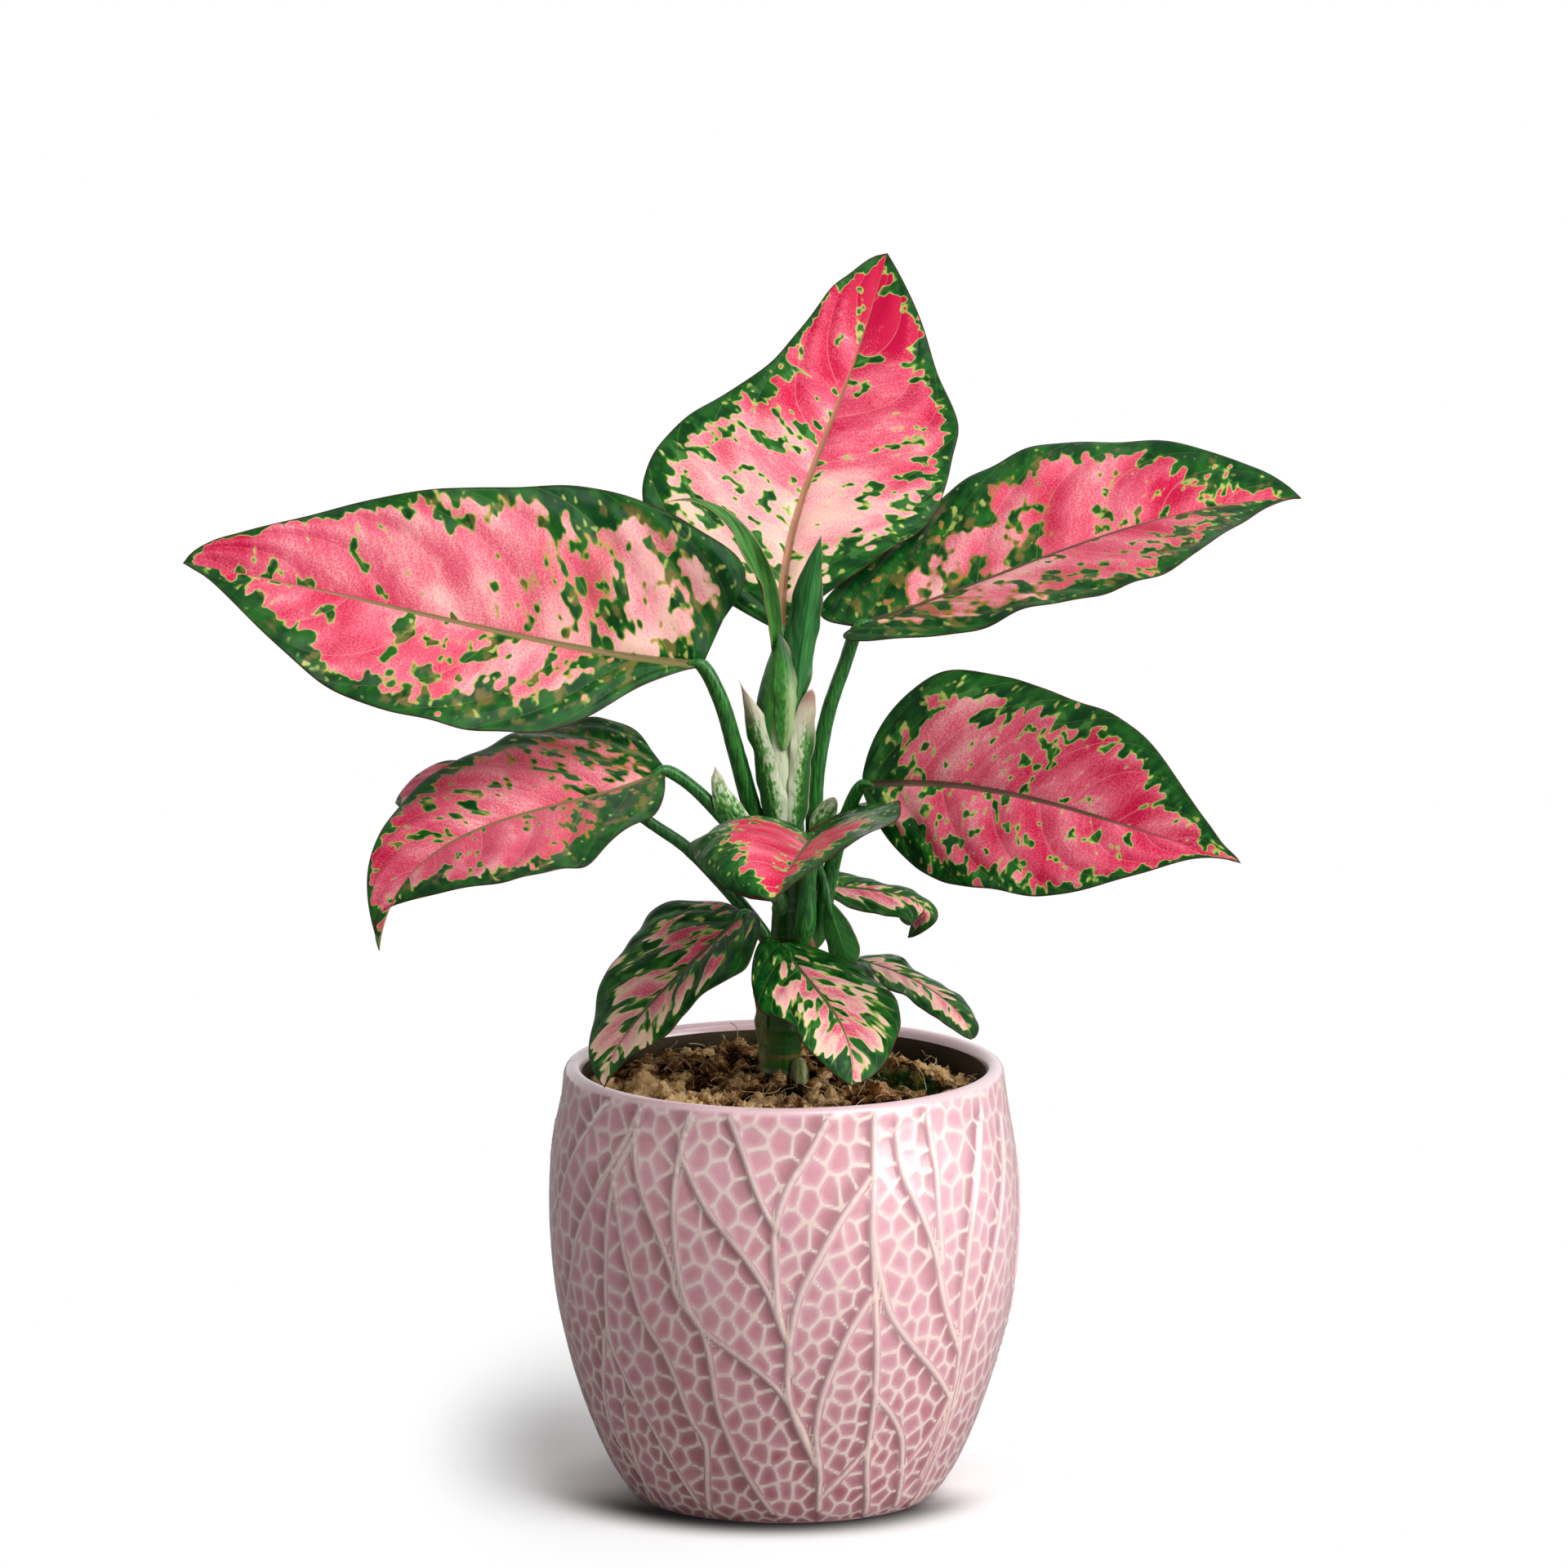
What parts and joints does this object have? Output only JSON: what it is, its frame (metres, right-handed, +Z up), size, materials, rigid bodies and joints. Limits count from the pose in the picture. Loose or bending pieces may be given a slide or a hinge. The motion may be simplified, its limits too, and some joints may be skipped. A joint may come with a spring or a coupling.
{
  "type": "potted pink aglaonema",
  "caption": "Pink and green variegated aglaonema house plant on a short cane, growing in a pink glazed ceramic pot with a leaf-scale and net relief.",
  "frame": {"origin": "centre of the pot's flat base", "axes": "+Z up through the pot's axis, -Y the front that the low middle leaf points to, +X to the right seen from the front"},
  "size_m": [0.3311, 0.1816, 0.3592],
  "materials": {
    "glaze": "gloss",
    "soil": "matte",
    "cane": "satin",
    "dry": "matte",
    "sheath": "satin",
    "young": "satin",
    "leaf": "satin",
    "stalk": "satin"
  },
  "bodies": {
    "root": {"pot": "glaze", "soil": "soil", "cane": "cane", "dry_scar": "dry", "side_shoot": "sheath", "core_sheath": "sheath", "sheath_left": "sheath", "sheath_right": "sheath", "small_sheath_left": "sheath", "small_sheath_right": "sheath", "spear_leaf": "young", "young_leaf": "young", "crown_blade": "leaf", "crown_stalk": "stalk", "upper_left_blade": "leaf", "upper_left_stalk": "stalk", "upper_right_blade": "leaf", "upper_right_stalk": "stalk", "lower_right_blade": "leaf", "lower_right_stalk": "stalk", "lower_left_blade": "leaf", "lower_left_stalk": "stalk", "rear_left_blade": "leaf", "rear_left_stalk": "stalk", "rear_right_blade": "leaf", "rear_right_stalk": "stalk", "front_blade": "leaf", "front_stalk": "stalk", "skirt_left_blade": "leaf", "skirt_left_stalk": "stalk", "skirt_front_blade": "leaf", "skirt_front_stalk": "stalk", "skirt_right_blade": "leaf", "skirt_right_stalk": "stalk", "hanging_blade": "leaf", "hanging_stalk": "stalk"}
  },
  "joints": []
}
